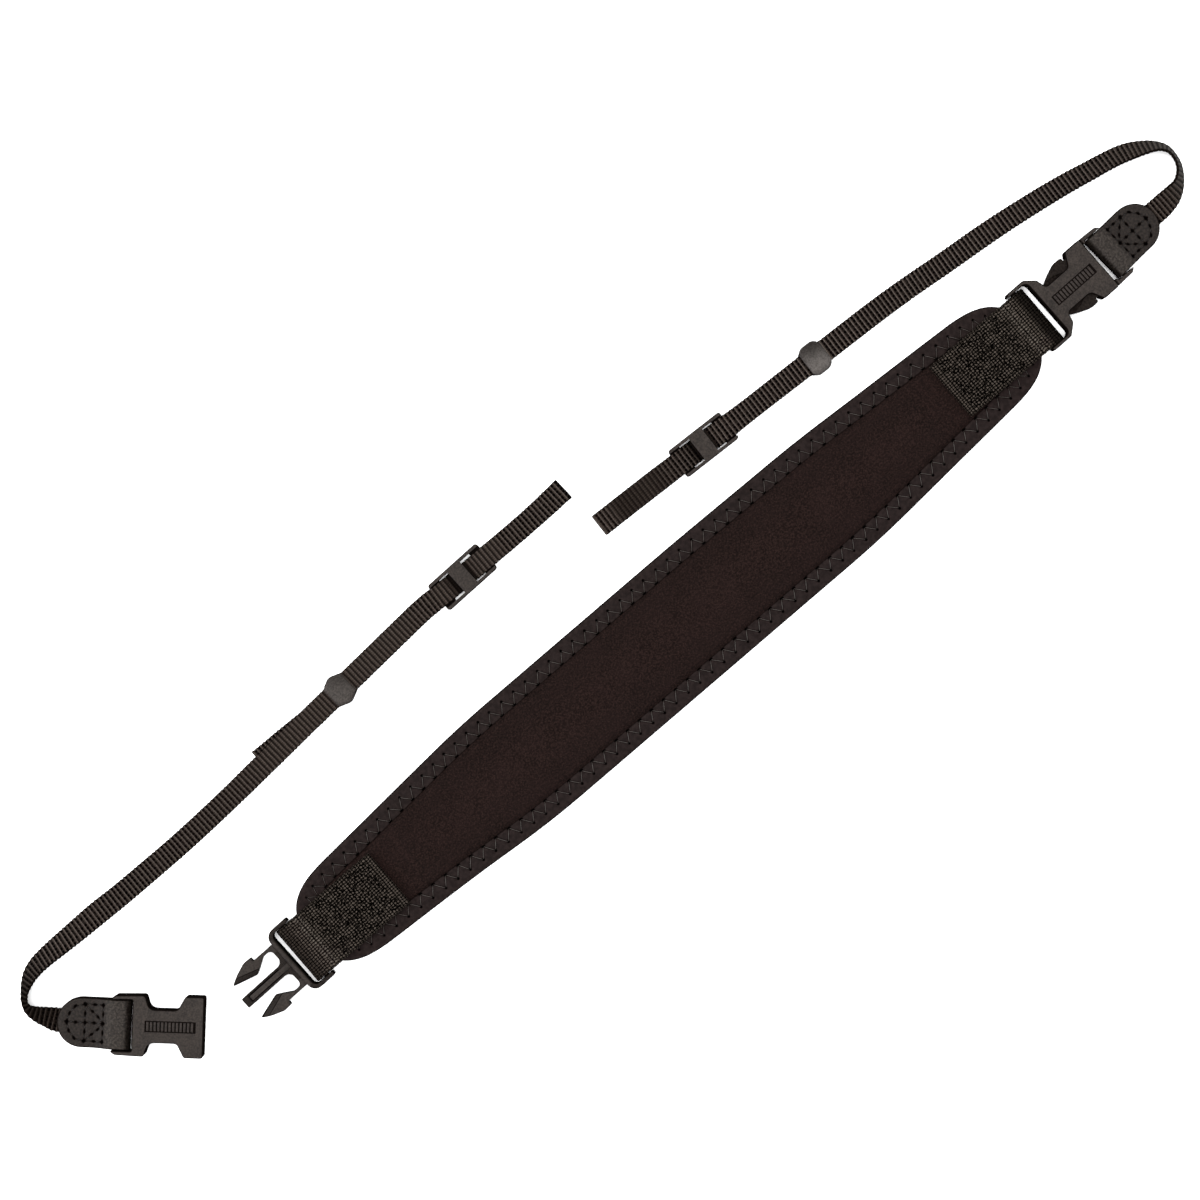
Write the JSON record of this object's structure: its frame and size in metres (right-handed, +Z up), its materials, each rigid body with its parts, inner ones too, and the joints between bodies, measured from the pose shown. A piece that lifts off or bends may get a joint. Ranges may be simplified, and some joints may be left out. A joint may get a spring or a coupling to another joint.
{
  "type": "camera neck strap",
  "caption": "Padded camera neck strap laid flat, with side-release buckles on webbing and leather tabs, the left buckle open, and thin adjustable end straps with sliders and ring keepers",
  "frame": {"origin": "middle of the pad's underside, on the surface that the strap lies on", "axes": "+X along the pad towards the fastened buckle, +Y across the pad towards the thin straps, +Z up"},
  "size_m": [0.5513, 0.1001, 0.009],
  "materials": {
    "knit_fabric": "fine matt knit",
    "stretch_binding": "smooth stretch fabric",
    "webbing": "ribbed woven",
    "moulded_plastic": "fine texture, satin",
    "leather": "fine grain, satin",
    "keeper_rubber": "satin"
  },
  "bodies": {
    "strap": {"pad": "knit_fabric", "edge_binding": "stretch_binding", "tab_left": "webbing", "tab_right": "webbing", "plug_left": "moulded_plastic", "plug_right": "moulded_plastic", "socket_left": "moulded_plastic", "socket_right": "moulded_plastic", "leather_left": "leather", "leather_right": "leather", "strap_left": "webbing", "strap_right": "webbing", "slider_left": "moulded_plastic", "slider_right": "moulded_plastic"},
    "left_ring": {"keeper_left": "keeper_rubber"},
    "right_ring": {"keeper_right": "keeper_rubber"}
  },
  "joints": [
    {"name": "left_keeper_slide", "type": "slide", "parent": "strap", "child": "left_ring", "axis": [0.998, 0.0631, 0], "range_m": [-0.012, 0.033]},
    {"name": "right_keeper_slide", "type": "slide", "parent": "strap", "child": "right_ring", "axis": [-0.9988, 0.048, 0], "range_m": [-0.014, 0.0265]}
  ]
}
